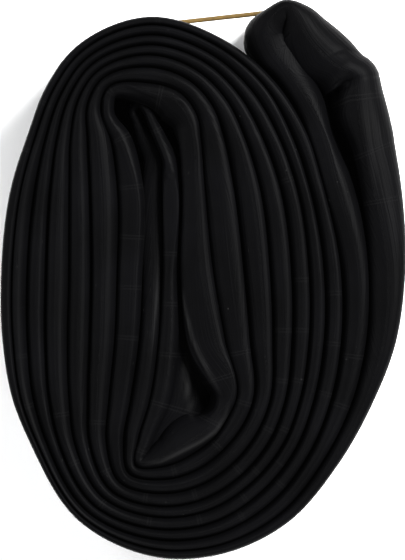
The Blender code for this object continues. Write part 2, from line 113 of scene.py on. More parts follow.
LOOSE_FOLD = (
    (28.5, 41.4, 4.6, 5.8, 0.0, 6.0, 6.5, 0.0, 0.4, 0.3),
    (26.1, 45.0, 4.2, 5.8, -0.2, 6.5, 5.5, 0.0, 2.2, 0.0, 1.0),
    (22.7, 49.2, 3.2, 4.8, -0.35, 6.5, 5.0, 0.0, 3.0, 0.0, 1.6),
    (19.9, 52.5, 2.2, 3.2, -0.3, 4.5, 3.5, 0.1, 3.6, 0.0, 1.6),
    (16.5, 54.0, 1.6, 1.1, 0.1, 2.6, 2.8, 0.4, 2.6, 0.0, 1.6),
    (13.9, 52.5, 1.8, 1.6, -0.1, 3.4, 3.0, 0.7, 2.4, 0.0, 1.6),
    (12.1, 49.0, 3.7, 3.1, -0.2, 5.5, 3.8, 0.9, 2.2),
    (13.3, 45.2, 3.5, 4.3, 0.0, 5.0, 3.0, 1.5, 1.6),
    (16.1, 41.0, 2.2, 4.1, 0.1, 3.4, 3.0, 1.6, 0.8),
    (20.1, 34.8, 1.9, 4.2, 0.1, 2.6, 3.6, 1.4),
)
CENTRE = (-0.101, 0.192)        # the frame's origin moves the ring by this much
BAND_WIDE = 3.0
BAND_THICK = 0.85
BAND_OUT = 0.05                 # gap between the band and the tube
GROOVE_DEPTH, GROOVE_WIDTH = 2.0, 1.7   # the groove that the band presses into the tube
# The valve's foot and direction in plan, and its core's spring: the two ends' distances from the foot,
# the radius of the coil and of the wire, and the turns.
VALVE_FOOT = (29.3037, 37.7197)
VALVE_WAY = (0.1218693, -0.9925462)
SPRING_LOW, SPRING_HIGH = 24.3, 27.0
SPRING_RADIUS, SPRING_WIRE, SPRING_TURNS = 1.0, 0.16, 5
SPRING_ROUND, WIRE_ROUND = 24, 8        # faces in a turn of the coil, and round its wire
FLAT_END = 0.75                 # this share of a turn at each end lies flat

# ---- shape of the top edges --------------------------------------------------------------------
# Per layer: where the crest lies across the layer (-1 inner side, 1 outer side), how far it is below
# the top, and how deep the rounding goes on the outer and the inner side (mm).
LEFT_CREST = (-0.2, 0.8, 0.0, 0.2, 0.1, 0.2, -0.5, -0.2, 0.0)
RIGHT_CREST = (0.3, 0.3, 0.4, 0.4, 0.4, 0.35, 0.5, 0.4, 0.5)
LEFT_DROP = (0.3, 0.1, 0.5, 0.1, 0.4, 0.1, 0.2, 1.2, 1.2)
RIGHT_DROP = (0.0, 0.5, 0.4, 0.3, 0.2, 0.1, 0.1, 0.0, 0.4)
LEFT_OUTER = (1.6, 0.5, 1.6, 0.9, 1.6, 1.1, 2.0, 2.0, 1.4)
LEFT_INNER = (1.5, 4.0, 3.4, 3.2, 3.4, 3.4, 3.2, 2.2, 2.4)
RIGHT_OUTER = (2.6, 1.5, 1.2, 1.0, 1.0, 1.0, 1.1, 1.0, 1.4)
RIGHT_INNER = (3.6, 3.6, 3.2, 3.0, 3.2, 3.2, 3.0, 2.4, 1.6)
TOP_CREST = (0.0, 0.5, 0.2, 0.3, 0.2, 0.2, 0.1)
TOP_DROP = (0.3, 0.1, 0.4, 0.3, 0.3, 0.1, 0.4)
TOP_OUTER = (1.6, 0.8, 1.3, 1.0, 1.2, 1.2, 1.4)
TOP_INNER = (2.0, 3.2, 2.8, 2.8, 2.8, 2.8, 2.8)
# Sections that differ from their layer. The key is the side, the gauge and the layer. The values:
# crest and drop as above; outer and inner, the depth of the rounding; lean and fall, how far the inner
# wall leans out below its edge and over what depth; bulge, how far the inner side lies further out, or
# below 0 how far its upper part lies back; squeeze, how far the outer side's upper part lies back.
SHAPES = {
    ("side", 0, 8): dict(crest=-0.6, drop=1.4),
    ("side", 1, 8): dict(crest=-0.1, drop=1.4, inner=2.0, lean=0.6, fall=4.0),
    ("side", 2, 8): dict(crest=0.0, drop=1.2, inner=2.6, lean=4.2, fall=5.0),
    ("side", 3, 8): dict(crest=0.0, drop=1.0, inner=2.4, lean=8.2, fall=5.0),
    ("side", 4, 8): dict(crest=0.0, drop=0.9, inner=2.4, lean=6.0, fall=5.0),
    ("side", 5, 8): dict(crest=0.2, drop=0.6, inner=2.2, lean=2.0, fall=6.0, bulge=0.4),
    ("side", 6, 8): dict(crest=-0.6, drop=0.3, outer=2.4, inner=5.0, lean=1.0, fall=6.0, bulge=3.4),
    ("side", 7, 8): dict(crest=-0.8, drop=0.1, outer=2.8, inner=6.0, lean=1.0, fall=6.0, bulge=5.0),
    ("side", 8, 8): dict(crest=-0.8, drop=0.1, outer=2.8, inner=5.0, lean=2.0, fall=8.0, bulge=4.0),
    ("side", 9, 8): dict(crest=-0.3, drop=0.4, outer=2.2, inner=2.0, lean=4.0, fall=16.0, bulge=0.6),
    ("side", 10, 8): dict(crest=0.45, drop=0.3, inner=1.2, lean=4.0, fall=16.0, bulge=0.9),
    ("side", 11, 8): dict(crest=0.45, drop=0.4, inner=1.4, lean=1.6, fall=12.0, bulge=2.2),
    ("side", 12, 8): dict(crest=0.45, drop=0.5, inner=1.6, bulge=0.5),
    ("side", 13, 8): dict(crest=0.5, drop=0.6, inner=1.4),
    ("side", 14, 8): dict(crest=0.5, drop=0.6, inner=1.8, bulge=0.8),
    ("top", 0, 6): dict(crest=0.1, drop=0.6, inner=3.2, lean=1.0, fall=6.0, bulge=2.2),
    ("top", 1, 6): dict(crest=0.0, drop=0.6, outer=1.4, inner=3.6, lean=0.6, fall=6.0, bulge=3.4),
    ("top", 2, 6): dict(crest=0.0, drop=0.5, outer=1.4, inner=3.2, lean=0.8, fall=6.0, bulge=1.6),
    ("side", 0, 7): dict(crest=0.0, drop=4.6, outer=0.8, inner=0.8),
    ("side", 1, 7): dict(crest=0.0, drop=3.2, outer=0.8, inner=0.8),
    ("side", 14, 0): dict(crest=-0.26, drop=0.2, outer=5.5, inner=4.0, bulge=-1.4),
    ("side", 13, 0): dict(crest=-0.3, drop=0.2, outer=4.6, inner=3.6, bulge=-0.8),
    ("side", 12, 0): dict(crest=0.2, drop=0.1, outer=2.6, inner=3.0),
    ("side", 14, 1): dict(crest=0.1, drop=1.0, outer=3.0, inner=1.2, squeeze=1.2),
    ("side", 13, 1): dict(crest=-0.1, drop=0.6, outer=3.2, inner=1.4, squeeze=0.5),
    ("side", 12, 1): dict(crest=0.4, drop=0.5),
}


class Station:
    """One section: middle, and for each side (right, left) its half thickness and shape."""

    def __init__(self, x, y, right, left, crest=0.0, deep_right=None, deep_left=None, drop=0.0,
                 bulge=0.0, shear=0.0, lean=0.0):
        self.x, self.y = x, y
        self.half = [right, left]
        self.deep = [deep_right, deep_left]
        self.mid = [None, None]         # half thickness beside the valve, where it is hollowed
        self.bulge = [0.0, bulge]       # how much further out the whole side lies
        self.shear = shear
        self.apron = [0.0, lean]        # how far the wall leans out below its top edge
        self.fall = [6.0, 3.5]          # how deep the leaning wall goes
        self.groove = [0.0, 0.0]        # depth of the band's groove
        self.crest = crest              # across the layer, 1 is right
        self.drop = drop
        self.heading = None             # way along, where it isn't taken from the neighbours
        self.gauge = None               # direction of the line across the layers
        self.fine = False               # short steps from here to the next station

    def swap(self):
        for pair in (self.half, self.deep, self.mid, self.bulge, self.apron, self.fall,
                     self.groove):
            pair.reverse()
        self.crest = -self.crest


def portion(value):
    return min(1.0, max(0.0, value))


def crossing(gauge, layer, side, index):
    """The station where one layer crosses one gauge."""
    start, degrees, middles, outermost, innermost = gauge
    hx, hy = math.cos(math.radians(degrees)), math.sin(math.radians(degrees))
    outside = outermost if layer == 0 else (middles[layer - 1] - middles[layer]) / 2
    inside = innermost if layer == len(middles) - 1 else (middles[layer] - middles[layer + 1]) / 2
    station = Station(start[0] + hx * middles[layer], start[1] + hy * middles[layer], outside, inside)
    station.gauge = (hx, hy)
    if side == "top":
        station.crest, station.drop = TOP_CREST[layer], TOP_DROP[layer]
        station.deep = [TOP_OUTER[layer], TOP_INNER[layer]]
    else:
        share = portion((index - LAST_LEFT_GAUGE) / (FIRST_RIGHT_GAUGE - LAST_LEFT_GAUGE))
        left = (LEFT_CREST, LEFT_DROP, LEFT_OUTER, LEFT_INNER)
        right = (RIGHT_CREST, RIGHT_DROP, RIGHT_OUTER, RIGHT_INNER)
        station.crest, station.drop, *station.deep = [
            a[layer] * (1 - share) + b[layer] * share for a, b in zip(left, right)]
    shape = SHAPES.get((side, index, layer))
    if shape:
        station.crest, station.drop = shape["crest"], shape["drop"]
        station.apron[1] = shape.get("lean", 0.0)
        station.fall[1] = shape.get("fall", 6.0)
        station.bulge = [-shape.get("squeeze", 0.0), shape.get("bulge", 0.0)]
        station.deep = [shape.get("outer", station.deep[0]), shape.get("inner", station.deep[1])]
    if layer == 0:
        station.groove[0] = GROOVE_DEPTH
    return station


def run(layer):
    """Every second layer's stations, from this layer outwards."""
    stations = []
    while layer >= 0:
        side = [crossing(gauge, layer, "side", index) for index, gauge in enumerate(SIDE_GAUGES)]
        if layer < 2:
            for index in POCKET_GAUGES:
                side[index].mid[1] = True
        stations += side
        layer -= 2
        if layer >= 0:
            stations += [crossing(gauge, layer, "top", index) for index, gauge in enumerate(TOP_GAUGES)]
    return stations


def rows(table):
    return [Station(*row) for row in table]


def ring_stations():
    """All stations in order round the ring."""
    run_a = run(LAYERS - 1)
    run_b = run(LAYERS - 2)
    for station in run_a[:FINE_STATIONS]:
        station.fine = True
    for station in run_b:
        station.swap()
    before = rows([BEFORE_SEAT])
    before[0].mid[1] = True
    back = (-math.cos(SEAT_HEADING), -math.sin(SEAT_HEADING))
    seat = []
    for distance, shape in ((-0.05, BELOW_SEAT), (0.0, BEHIND_SEAT), (0.85, BEHIND_SEAT)):
        station = Station(SEAT[0] + back[0] * distance, SEAT[1] + back[1] * distance, *shape)
        station.heading = back
        seat.append(station)
    seat[0].mid[1] = True
    loose = rows(LOOSE_FOLD)
    loose[-1].mid[1] = True
    for station in before + seat + loose:
        station.groove[0] = GROOVE_DEPTH
        station.fine = True
    return run_a + before + seat + loose + run_b[::-1] + rows(INNER_FOLD)


def headings(stations):
    """Unit vector of the way along at each station."""
    points = np.array([(s.x, s.y) for s in stations])
    ahead = np.roll(points, -1, 0) - points
    ahead /= np.linalg.norm(ahead, axis=1)[:, None]
    both = ahead + np.roll(ahead, 1, 0)
    both /= np.linalg.norm(both, axis=1)[:, None]
    for index, station in enumerate(stations):
        if station.heading:
            both[index] = station.heading
    return both


FIRST_SIDE = 2                  # a row is x, y, the right side, the left side, shear, crest, drop
PER_SIDE = 7                    # numbers for each side, as station_values lists them
GROOVE = 5                      # the groove's place among them
SHEAR = -3


def station_values(stations):
    """One row of numbers per station, all in mm."""
    along = headings(stations)
    out = []
    for station, (tx, ty) in zip(stations, along):
        share = 1.0
        if station.gauge:
            share = abs(ty * station.gauge[0] - tx * station.gauge[1])
        half = [h * share - SKIN_GAP for h in station.half]
        mid = list(half)
        for side in (0, 1):
            if station.mid[side]:
                mid[side] = POCKET_LAYER - 2 * SKIN_GAP - half[1 - side]
        row = [station.x + CENTRE[0], station.y + CENTRE[1]]
        for side in (0, 1):
            row += [half[side], mid[side], station.deep[side], station.apron[side],
                    station.fall[side], station.groove[side], station.bulge[side]]
        out.append(row + [station.shear, station.crest, station.drop])
    return np.array(out)


STEP = 1.6                      # longest step along the tube
FINE_STEP = 0.6
MOST_TURN = math.radians(5)     # sharpest bend in one step
SINGLE_STEP = 0.1               # stations nearer than this get no steps between them


def dense(values, stations):
    """Smooth interpolation round the ring, with short steps where it bends."""
    count = len(values)
    points = values[:, :2]
    span = np.linalg.norm(np.roll(points, -1, 0) - points, axis=1)
    slope = (np.roll(values, -1, 0) - values) / span[:, None]
    before = np.roll(span, 1)
    tangent = (before[:, None] * slope + span[:, None] * np.roll(slope, 1, 0)) / (before + span)[:, None]
    for index, station in enumerate(stations):
        if station.heading:
            tangent[index] = 0.0
            tangent[index, :2] = station.heading
    rings, ways = [], []
    for index in range(count):
        other = (index + 1) % count
        a, b, h = values[index], values[other], span[index]
        ta, tb = tangent[index], tangent[other]
        turn = abs(math.atan2(ta[0] * tb[1] - ta[1] * tb[0], ta[0] * tb[0] + ta[1] * tb[1]))
        stride = FINE_STEP if stations[index].fine else STEP
        steps = max(1, math.ceil(h / stride), math.ceil(turn / MOST_TURN))
        if h < SINGLE_STEP:
            steps = 1
        for step in range(steps):
            t = step / steps
            h00, h10 = 2 * t**3 - 3 * t**2 + 1, t**3 - 2 * t**2 + t
            h01, h11 = -2 * t**3 + 3 * t**2, t**3 - t**2
            rings.append(h00 * a + h10 * h * ta + h01 * b + h11 * h * tb)
            d00, d10 = 6 * t**2 - 6 * t, 3 * t**2 - 4 * t + 1
            d01, d11 = -6 * t**2 + 6 * t, 3 * t**2 - 2 * t
            d = (d00 * a + d10 * h * ta + d01 * b + d11 * h * tb)[:2]
            ways.append(d / np.linalg.norm(d))
    return np.array(rings), np.array(ways)


DOME_STEPS = 12                 # rows of faces from the crest to the edge of the rounding
UPPER_STEPS = 18                # rows from there down to UPPER_TO, closer together at the top
UPPER_TO = 36.0
UPPER_SPACING = 1.3
LEVELS = (33.5, 31.0, 27.2, 25.7, 24.0, 22.3, 20.8, 17.0, 14.5, 8.0)
BASE_ROUND = 1.4
BASE_ANGLES = (0.0, 30.0, 60.0, 90.0)
CREST_REACH = 0.8               # a crest at 1 lies this share of the way to the side
ROUNDNESS = (0.85, 0.95)        # right and left; 1 is an ellipse, less is flatter on top
ROUNDNESS_PER_BULGE = 0.12
MOST_ROUNDNESS = 1.15
LEAN_FROM, LEAN_OVER = 6.0, 8.0         # the lean and the bulge grow from this height, over this much
SQUEEZE_FROM, SQUEEZE_OVER = 37.0, 6.0  # and so does the squeeze


def side_profile(row, side):
    """(offset, height) down one side, from just past the crest to the base; offsets are positive."""
    first = FIRST_SIDE + PER_SIDE * side
    half, mid, depth, apron, fall, groove, bulge = row[first:first + PER_SIDE]
    crest, drop = row[-2:]
    other = row[FIRST_SIDE + PER_SIDE * (1 - side)]
    middle = (half - other) / 2
    reach = (half + other) / 2
    peak = middle + (crest if side == 0 else -crest) * reach * CREST_REACH
    top = FLAT_WIDTH - max(drop, 0.0)
    points = []
    power = min(MOST_ROUNDNESS, ROUNDNESS[side] + ROUNDNESS_PER_BULGE * max(bulge, 0.0))
    for step in range(1, DOME_STEPS + 1):
        angle = math.pi / 2 * step / DOME_STEPS
        points.append((peak + (half + bulge - peak) * math.sin(angle) ** power,
                       top - depth * (1 - max(math.cos(angle), 0.0) ** power)))
    edge = points[-1][1]
    upper = [edge - (edge - UPPER_TO) * (step / UPPER_STEPS) ** UPPER_SPACING
             for step in range(1, UPPER_STEPS + 1)]
    for z in (*upper, *LEVELS):
        lean = portion((edge - z) / fall)
        lean = lean * lean * (3 - 2 * lean)
        low = portion((z - LEAN_FROM) / LEAN_OVER)
        offset = half + (max(bulge, 0.0) + apron * lean) * low
        offset += min(bulge, 0.0) * portion((z - SQUEEZE_FROM) / SQUEEZE_OVER)
        if abs(z - MIDDLE) < VALVE_ROOM and mid != half:
            offset = mid
        offset -= groove * math.exp(-((z - MIDDLE) / GROOVE_WIDTH) ** 2)
        points.append((offset, z))
    for angle in BASE_ANGLES:
        a = math.radians(angle)
        points.append((middle + (half - middle) * math.cos(a), BASE_ROUND * (1 - math.sin(a))))
    return points, (peak, top)


UPPER_FROM, UPPER_OVER = 33.0, 5.0      # shear and marks grow from this height, over this much
PIVOT, MOST_ARM = 5.0, 4.0      # no shear this far left of the middle, more to the right up to this arm
# Ridges, and creases where the height is below 0, in the upper surface: height, width, and the points
# of their way in plan.
MARKS = (
    (0.6, 0.6, ((-3.5, -14.8), (-3.2, -20.0), (-2.2, -28.2))),
    (0.45, 0.35, ((-4.5, -0.8), (-3.3, -7.2), (-2.1, -12.0), (0.7, -18.0), (3.9, -23.2))),
    (0.45, 0.55, ((-11.9, -36.4), (-8.5, -36.2), (-4.5, -34.2), (-0.5, -32.2), (2.5, -30.2), (4.5, -27.2),
                  (5.1, -24.2))),
    (0.35, 0.5, ((-19.9, 32.8), (-19.5, 36.8), (-17.5, 38.6), (-15.5, 39.0), (-10.5, 36.8), (-4.5, 35.8),
                 (-2.5, 34.2))),
    (-0.28, 0.3, ((23.9, 43.8), (25.5, 45.2), (28.3, 45.8), (30.3, 45.2), (33.1, 42.6))),
    (-1.3, 0.8, ((26.3, 37.4), (27.6, 38.3), (28.9, 39.3), (30.1, 40.6))),
    (0.35, 1.6, ((26.3, 40.6), (28.0, 41.6), (31.0, 42.6))),
    (0.4, 0.5, ((30.7, 38.6), (31.1, 31.8), (32.3, 26.2), (34.1, 14.8))),
)


FADE = 3.5                      # a mark has its full height after 1 / FADE of its length
HIGHLIGHT_FROM = 0.4                 # higher ridges get a painted highlight, a paler colour along their crest
HIGHLIGHT_WIDTH = 0.8                # over this share of their width


def pressed(x, y):
    """(height, highlight share) of the marks at a place; the share is 1 on a sharp ridge, whose colour is
    painted paler there as a highlight.
    """
    total, ridge_highlight = 0.0, 0.0
    for height, width, way in MARKS:
        near, place = math.inf, 0.0
        for leg, ((ax, ay), (bx, by)) in enumerate(zip(way, way[1:])):
            dx, dy = bx - ax, by - ay
            share = portion(((x - ax) * dx + (y - ay) * dy) / (dx * dx + dy * dy))
            gap = math.hypot(x - ax - dx * share, y - ay - dy * share)
            if gap < near:
                near, place = gap, (leg + share) / (len(way) - 1)
        fade = min(1.0, FADE * place, FADE * (1.0 - place))
        total += fade * height * math.exp(-(near / width) ** 2)
        if height > HIGHLIGHT_FROM:
            ridge_highlight = max(ridge_highlight, fade * math.exp(-(near / width / HIGHLIGHT_WIDTH) ** 2))
    return total, ridge_highlight


def ring_faces(count, size):
    """Four-sided faces between each section of a closed ring and the next."""
    faces = []
    for index in range(count):
        a, b = index * size, ((index + 1) % count) * size
        for corner in range(size):
            other = (corner + 1) % size
            faces.append((a + corner, a + other, b + other, b + corner))
    return faces


def tube_mesh():
    """The tube's mesh, with the row of numbers and the way along of each of its sections."""
    stations = ring_stations()
    values = station_values(stations)
    rings, ways = dense(values, stations)
    verts, flow = [], []
    travelled = 0.0
    for index, (row, way) in enumerate(zip(rings, ways)):
        right, peak = side_profile(row, 0)
        left, _ = side_profile(row, 1)
        section = [peak] + right[:-1]
        section += [((row[FIRST_SIDE] - row[FIRST_SIDE + PER_SIDE]) / 2, 0.0)]
        section += [(-o, z) for o, z in left[:-1]][::-1]
        normal = np.array((way[1], -way[0]))
        if index:
            travelled += float(np.linalg.norm(row[:2] - rings[index - 1][:2]))
        across = 0.0
        for number, (offset, z) in enumerate(section):
            if number:
                across += math.hypot(offset - section[number - 1][0], z - section[number - 1][1])
            upper = portion((z - UPPER_FROM) / UPPER_OVER)
            arm = min(offset + PIVOT, MOST_ARM)
            x, y = row[:2] + normal * offset + way * row[SHEAR] * arm * upper
            ridge_highlight = 0.0
            if upper:
                height, ridge_highlight = pressed(x, y)
                z += upper * height
            verts.append((x * MM, y * MM, z * MM))
            # the third number is the share of the painted highlight on the sharp ridges
            flow.append((travelled * MM, across * MM, ridge_highlight * upper))
    mesh = bpy.data.meshes.new("tube_skin")
    mesh.from_pydata(verts, [], ring_faces(len(rings), len(verts) // len(rings)))
    attribute = mesh.attributes.new("flow", "FLOAT_VECTOR", "POINT")
    attribute.data.foreach_set("vector", np.array(flow, np.float32).ravel())
    mesh.flip_normals()
    mesh.shade_smooth()
    return mesh, rings, ways


# ---- materials ---------------------------------------------------------------------------------
def new_material(name, colour, roughness, metallic=0.0, specular=0.5):
    made = bpy.data.materials.new(name)
    made.use_nodes = True
    nodes, links = made.node_tree.nodes, made.node_tree.links
    shader = nodes["Principled BSDF"]
    shader.inputs["Base Color"].default_value = (*colour, 1.0)
    shader.inputs["Roughness"].default_value = roughness
    shader.inputs["Metallic"].default_value = metallic
    shader.inputs["Specular IOR Level"].default_value = specular
    return made, nodes, links, shader


def cross_marks(nodes, links, flow):
    """Pairs of faint moulded lines across the tube, a centimetre apart, on some stretches only."""
    def calculate(operation, source, *values):
        made = nodes.new("ShaderNodeMath")
        made.operation = operation
        links.new(source, made.inputs[0])
        for index, value in enumerate(values):
            if hasattr(value, "links"):
                links.new(value, made.inputs[index + 1])
            else:
                made.inputs[index + 1].default_value = value
        return made.outputs["Value"]

    parts = nodes.new("ShaderNodeSeparateXYZ")
    links.new(flow.outputs["Vector"], parts.inputs["Vector"])
    place = calculate("FRACT", calculate("MULTIPLY", parts.outputs["X"], 100.0))
    # Besides their relief, these lines are painted paler in the rubber's colour: a painted highlight.
    lines = calculate("ADD", calculate("COMPARE", place, 0.45, 0.014),
                      calculate("COMPARE", place, 0.51, 0.014))
    patches = nodes.new("ShaderNodeTexNoise")
    patches.noise_dimensions = "1D"
    patches.inputs["Scale"].default_value = 9.0
    links.new(parts.outputs["X"], patches.inputs["W"])
    shown = calculate("GREATER_THAN", patches.outputs["Fac"], 0.56)
    # the second output is the share of the painted highlight on the sharp ridges
    return calculate("MULTIPLY", lines, shown), parts.outputs["Z"]


def wall_talc_and_painted_light(nodes, links, coords):
    """Cloudy talc on the upright walls, partly a painted lift of their shade: 0 on the top edges."""
    facing = nodes.new("ShaderNodeSeparateXYZ")
    geometry = nodes.new("ShaderNodeNewGeometry")
    links.new(geometry.outputs["True Normal"], facing.inputs["Vector"])
    # the steeper the wall, the paler: painted light that lifts the shade on the walls between the layers,
    # mixed with talc clouds
    upright = nodes.new("ShaderNodeMapRange")
    upright.inputs["From Min"].default_value = 0.35
    upright.inputs["From Max"].default_value = 0.05
    links.new(facing.outputs["Z"], upright.inputs["Value"])
    stretch = nodes.new("ShaderNodeMapping")
    stretch.inputs["Scale"].default_value = (60.0, 60.0, 260.0)
    links.new(coords.outputs["Object"], stretch.inputs["Vector"])
    clouds = nodes.new("ShaderNodeTexNoise")
    clouds.inputs["Scale"].default_value = 1.0
    clouds.inputs["Detail"].default_value = 8.0
    clouds.inputs["Roughness"].default_value = 0.65
    links.new(stretch.outputs["Vector"], clouds.inputs["Vector"])
    thick = nodes.new("ShaderNodeMapRange")
    thick.inputs["From Min"].default_value = 0.48
    thick.inputs["From Max"].default_value = 0.72
    links.new(clouds.outputs["Fac"], thick.inputs["Value"])
    both = nodes.new("ShaderNodeMath")
    both.operation = "MULTIPLY"
    links.new(upright.outputs["Result"], both.inputs[0])
    links.new(thick.outputs["Result"], both.inputs[1])
    return both.outputs["Value"]


def butyl():
    made, nodes, links, shader = new_material("butyl", (0.0025, 0.0025, 0.0028), 0.5, 0.0, 0.014)
    # A faint even white glow on all the rubber: painted light that lifts its darkest shade, not a lamp.
    shader.inputs["Emission Color"].default_value = (1.0, 1.0, 1.0, 1.0)
    shader.inputs["Emission Strength"].default_value = 0.0005
    flow = nodes.new("ShaderNodeAttribute")
    flow.attribute_name = "flow"
    stretch = nodes.new("ShaderNodeMapping")
    stretch.inputs["Scale"].default_value = (45.0, 2200.0, 1.0)
    links.new(flow.outputs["Vector"], stretch.inputs["Vector"])
    streak = nodes.new("ShaderNodeTexNoise")
    streak.inputs["Scale"].default_value = 1.0
    streak.inputs["Detail"].default_value = 3.0
    links.new(stretch.outputs["Vector"], streak.inputs["Vector"])
    coords = nodes.new("ShaderNodeTexCoord")
    dust = nodes.new("ShaderNodeTexNoise")
    dust.inputs["Scale"].default_value = 90.0
    dust.inputs["Detail"].default_value = 5.0
    links.new(coords.outputs["Object"], dust.inputs["Vector"])
    grain = nodes.new("ShaderNodeTexNoise")
    grain.inputs["Scale"].default_value = 2600.0
    grain.inputs["Detail"].default_value = 2.0
    links.new(coords.outputs["Object"], grain.inputs["Vector"])
    colour = nodes.new("ShaderNodeValToRGB")
    colour.color_ramp.elements[0].position = 0.35
    colour.color_ramp.elements[0].color = (0.0010, 0.0010, 0.00112, 1.0)
    colour.color_ramp.elements[1].position = 0.75
    colour.color_ramp.elements[1].color = (0.0016, 0.0016, 0.0019, 1.0)
    links.new(dust.outputs["Fac"], colour.inputs["Fac"])
    specks = nodes.new("ShaderNodeTexNoise")
    specks.inputs["Scale"].default_value = 1300.0
    specks.inputs["Detail"].default_value = 1.0
    links.new(coords.outputs["Object"], specks.inputs["Vector"])
    rare = nodes.new("ShaderNodeMapRange")
    rare.inputs["From Min"].default_value = 0.79
    rare.inputs["From Max"].default_value = 0.84
    links.new(specks.outputs["Fac"], rare.inputs["Value"])
    # The pale colour mixed into the rubber: real talc at random specks, and painted light on the moulded
    # lines, the sharp ridges and the steep walls.
    talc_and_painted_light = nodes.new("ShaderNodeMix")
    talc_and_painted_light.data_type = "RGBA"
    talc_and_painted_light.inputs["B"].default_value = (0.016, 0.016, 0.016, 1.0)
    # the moulded lines, and the share of the painted highlight on the sharp ridges
    marks, painted_ridge_highlight = cross_marks(nodes, links, flow)
    # talc clouds on the steep walls, partly a painted lift of their shade
    wall_talc_and_painted_lift = wall_talc_and_painted_light(nodes, links, coords)
    shares = rare.outputs["Result"]
    # Shares of the pale colour: 0.07 a painted highlight on the moulded lines, 0.34 a painted highlight
    # on the sharp ridges, 0.2 talc clouds with a painted lift of shade on the steep walls.
    for source, share in ((marks, 0.07), (painted_ridge_highlight, 0.34), (wall_talc_and_painted_lift, 0.2)):
        total = nodes.new("ShaderNodeMath")
        total.operation = "MULTIPLY_ADD"
        total.inputs[1].default_value = share
        links.new(source, total.inputs[0])
        links.new(shares, total.inputs[2])
        shares = total.outputs["Value"]
    links.new(shares, talc_and_painted_light.inputs["Factor"])
    links.new(colour.outputs["Color"], talc_and_painted_light.inputs["A"])
    links.new(talc_and_painted_light.outputs["Result"], shader.inputs["Base Color"])
    rough = nodes.new("ShaderNodeMapRange")
    rough.inputs["To Min"].default_value = 0.33
    rough.inputs["To Max"].default_value = 0.55
    links.new(streak.outputs["Fac"], rough.inputs["Value"])
    links.new(rough.outputs["Result"], shader.inputs["Roughness"])
    bump = nodes.new("ShaderNodeBump")
    bump.inputs["Strength"].default_value = 0.5
    bump.inputs["Distance"].default_value = 0.0002
    relief = nodes.new("ShaderNodeMath")
    relief.operation = "MULTIPLY_ADD"
    relief.inputs[1].default_value = 2.0
    links.new(marks, relief.inputs[0])
    links.new(streak.outputs["Fac"], relief.inputs[2])
    links.new(relief.outputs["Value"], bump.inputs["Height"])
    fine = nodes.new("ShaderNodeBump")
    fine.inputs["Strength"].default_value = 0.15
    fine.inputs["Distance"].default_value = 0.00005
    links.new(grain.outputs["Fac"], fine.inputs["Height"])
    links.new(bump.outputs["Normal"], fine.inputs["Normal"])
    links.new(fine.outputs["Normal"], shader.inputs["Normal"])
    return made


def textured(name, colour, roughness, metallic, scale, spread, bump_depth, specular=0.5):
    """A solid colour with noise in its tone, roughness and relief."""
    made, nodes, links, shader = new_material(name, colour, roughness, metallic, specular)
    coords = nodes.new("ShaderNodeTexCoord")
    noise = nodes.new("ShaderNodeTexNoise")
    noise.inputs["Scale"].default_value = scale
    noise.inputs["Detail"].default_value = 4.0
    links.new(coords.outputs["Object"], noise.inputs["Vector"])
    ramp = nodes.new("ShaderNodeValToRGB")
    ramp.color_ramp.elements[0].position = 0.3
    ramp.color_ramp.elements[0].color = (*[c * (1 - spread) for c in colour], 1.0)
    ramp.color_ramp.elements[1].position = 0.7
    ramp.color_ramp.elements[1].color = (*[min(1.0, c * (1 + spread)) for c in colour], 1.0)
    links.new(noise.outputs["Fac"], ramp.inputs["Fac"])
    links.new(ramp.outputs["Color"], shader.inputs["Base Color"])
    rough = nodes.new("ShaderNodeMapRange")
    rough.inputs["To Min"].default_value = max(0.05, roughness - 0.08)
    rough.inputs["To Max"].default_value = roughness + 0.08
    links.new(noise.outputs["Fac"], rough.inputs["Value"])
    links.new(rough.outputs["Result"], shader.inputs["Roughness"])
    bump = nodes.new("ShaderNodeBump")
    bump.inputs["Strength"].default_value = 0.3
    bump.inputs["Distance"].default_value = bump_depth
    links.new(noise.outputs["Fac"], bump.inputs["Height"])
    links.new(bump.outputs["Normal"], shader.inputs["Normal"])
    return made


# ---- build -------------------------------------------------------------------------------------
mesh, rings, ways = tube_mesh()
tube = bpy.data.objects.new("tube_skin", mesh)
SCENE.collection.objects.link(tube)
mesh.materials.append(butyl())
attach(tube, "roll")
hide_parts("tube")


def hull(points):
    """Corners of the convex outline, in order."""
    ordered = sorted(map(tuple, points))

    def half(sequence):
        chain = []
        for point in sequence:
            while len(chain) > 1:
                (ax, ay), (bx, by) = chain[-2], chain[-1]
                if (bx - ax) * (point[1] - ay) - (by - ay) * (point[0] - ax) > 0:
                    break
                chain.pop()
            chain.append(point)
        return chain[:-1]

    return np.array(half(ordered) + half(ordered[::-1]))


BAND_EDGE = 1.15                # half the band's width in its section's own units
BAND_SECTION = ((0.0, -1.0), (0.12, -BAND_EDGE), (0.88, -BAND_EDGE), (1.0, -1.0),
                (1.0, 1.0), (0.88, BAND_EDGE), (0.12, BAND_EDGE), (0.0, 1.0))


